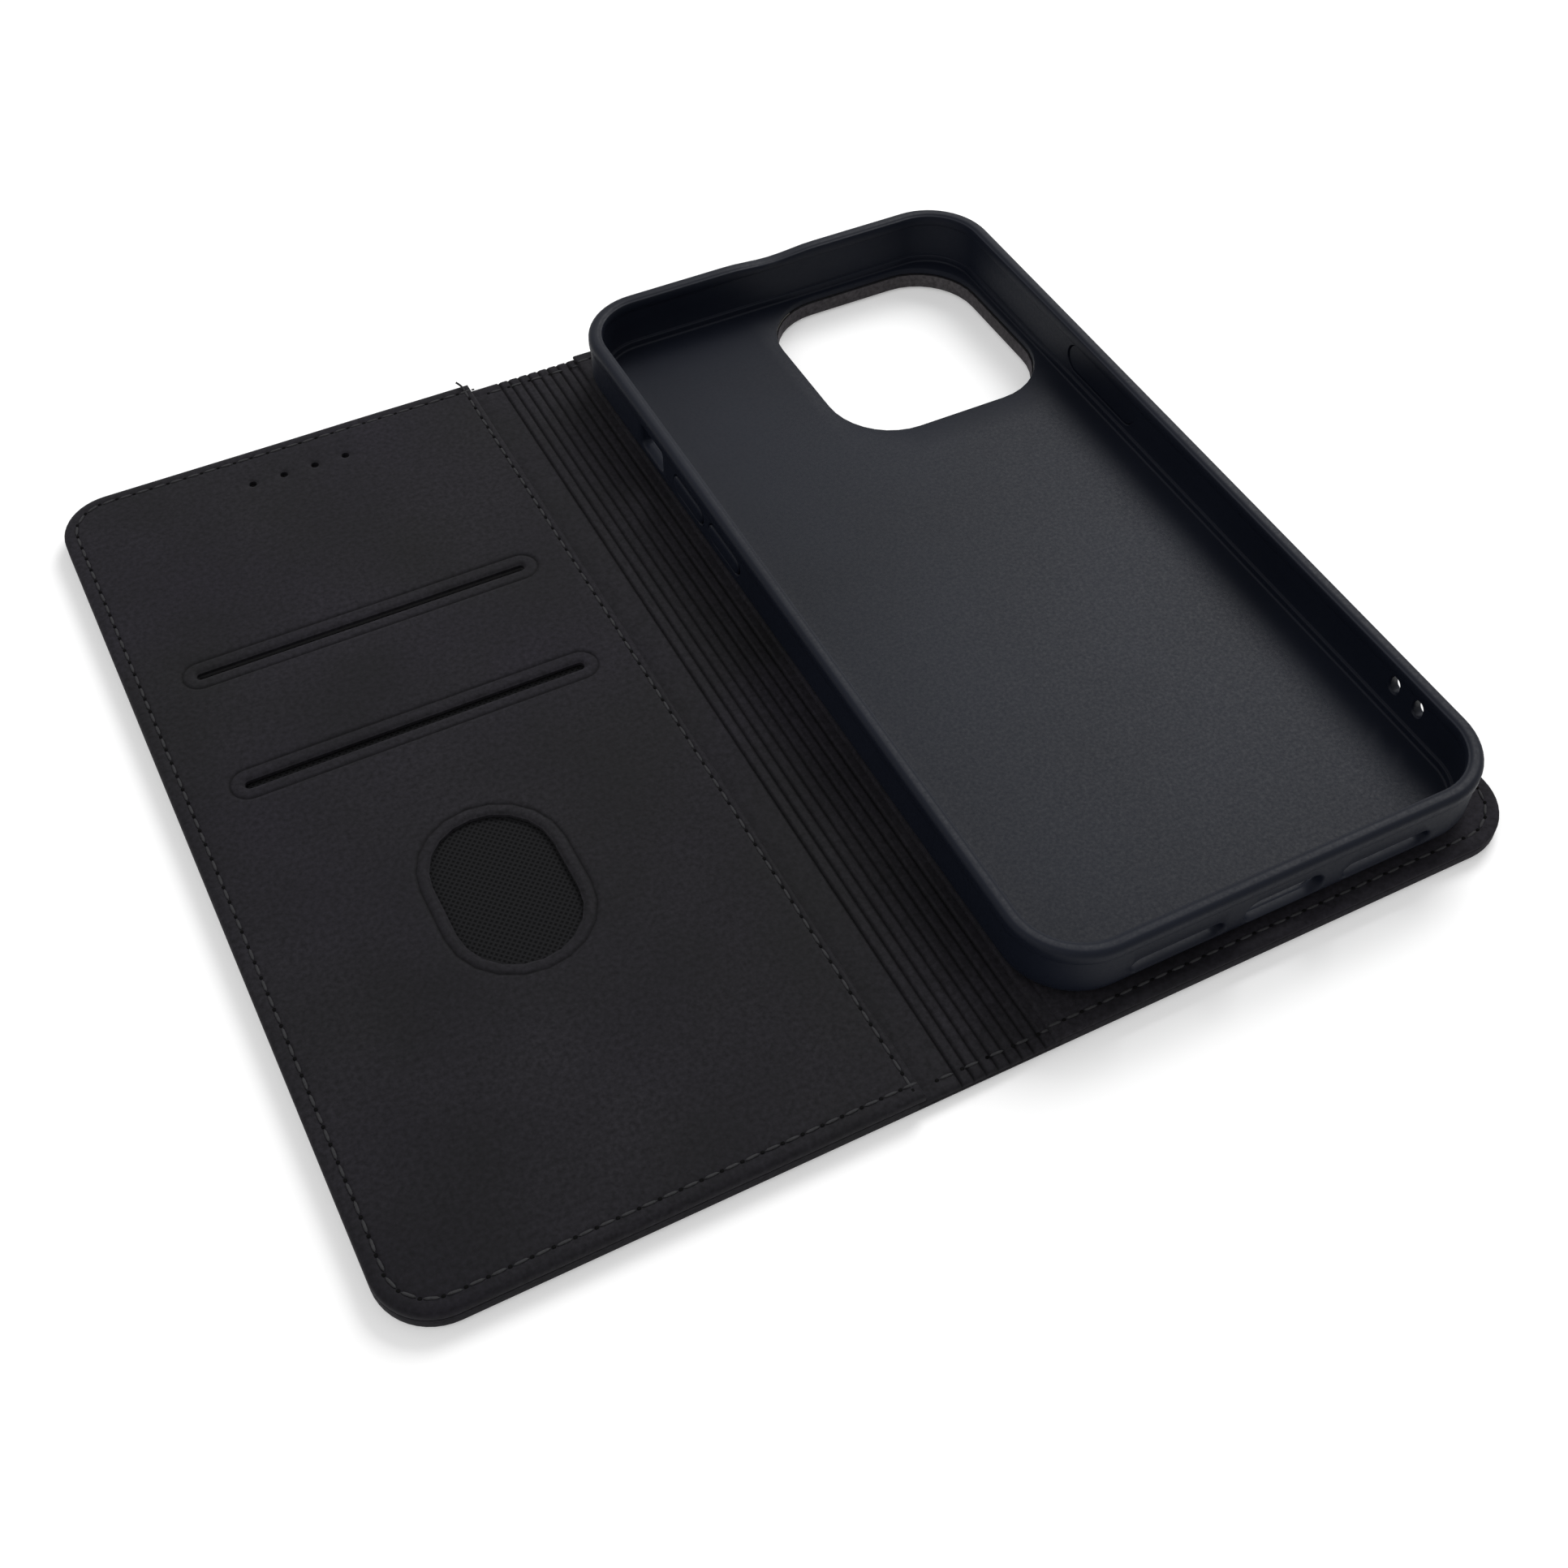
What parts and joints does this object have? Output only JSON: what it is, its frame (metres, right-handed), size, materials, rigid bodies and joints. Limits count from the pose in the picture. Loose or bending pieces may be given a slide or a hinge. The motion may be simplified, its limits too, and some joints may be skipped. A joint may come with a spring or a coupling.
{
  "type": "phone wallet case",
  "caption": "Folding wallet case for a phone: moulded phone tray on a leather back, grooved spine, and a front cover with card slots and a thumb window.",
  "frame": {"origin": "on the table under the middle of the open case", "axes": "+X from the front cover's free edge to the back cover's free edge, +Y up the phone, +Z out of the tray's mouth"},
  "size_m": [0.1808, 0.169, 0.0143],
  "materials": {
    "tray": "soft satin, moulded",
    "outer_leather": "matte, fine nap",
    "lining_leather": "matte, fine nap",
    "board": "grey board",
    "magnet": "nickel plated",
    "pocket_cloth": "woven",
    "padding": "foam sheet",
    "adhesive": "double-sided sheet"
  },
  "bodies": {
    "shell": {"phone_tray": "tray", "tray_adhesive": "adhesive", "back_lining": "lining_leather", "back_board": "board", "back_magnets": "magnet", "back_skin": "outer_leather"},
    "spine_grooved": {"spine_skin_grooved": "outer_leather", "spine_lining_grooved": "lining_leather"},
    "spine_flat": {"spine_skin_flat": "outer_leather", "spine_lining_flat": "lining_leather"},
    "front_cover": {"front_skin": "outer_leather", "front_board": "board", "front_magnets": "magnet", "pocket_backing": "pocket_cloth", "card_pocket_upper": "pocket_cloth", "card_pocket_lower": "pocket_cloth", "panel_padding": "padding", "pocket_panel": "lining_leather"},
    "volume_up_key": {"volume_up_key": "tray"},
    "volume_down_key": {"volume_down_key": "tray"},
    "power_key": {"power_key": "tray"}
  },
  "joints": [
    {"name": "tray_edge_fold", "type": "hinge", "parent": "shell", "child": "spine_grooved", "pos_m": [0.00585, 0, 0.0016], "axis": [0, 1, 0], "range_deg": [-37, 74]},
    {"name": "groove_fold", "type": "hinge", "parent": "spine_grooved", "child": "spine_flat", "pos_m": [-0.00667, 0, 0.0016], "axis": [0, 1, 0], "range_deg": [-38.5, 77]},
    {"name": "front_cover_fold", "type": "hinge", "parent": "spine_flat", "child": "front_cover", "pos_m": [-0.01415, 0, 0.0016], "axis": [0, 1, 0], "range_deg": [-13, 26]},
    {"name": "volume_up_press", "type": "slide", "parent": "shell", "child": "volume_up_key", "axis": [1, 0, 0], "range_m": [0, 0.0005], "stiffness_N_per_m": 2000},
    {"name": "volume_down_press", "type": "slide", "parent": "shell", "child": "volume_down_key", "axis": [1, 0, 0], "range_m": [0, 0.0005], "stiffness_N_per_m": 2000},
    {"name": "power_press", "type": "slide", "parent": "shell", "child": "power_key", "axis": [-1, 0, 0], "range_m": [0, 0.0005], "stiffness_N_per_m": 2000}
  ],
  "couplings": [
    {"joint": "groove_fold", "follows": "tray_edge_fold", "ratio": 1.0405},
    {"joint": "front_cover_fold", "follows": "tray_edge_fold", "ratio": 0.35135}
  ]
}
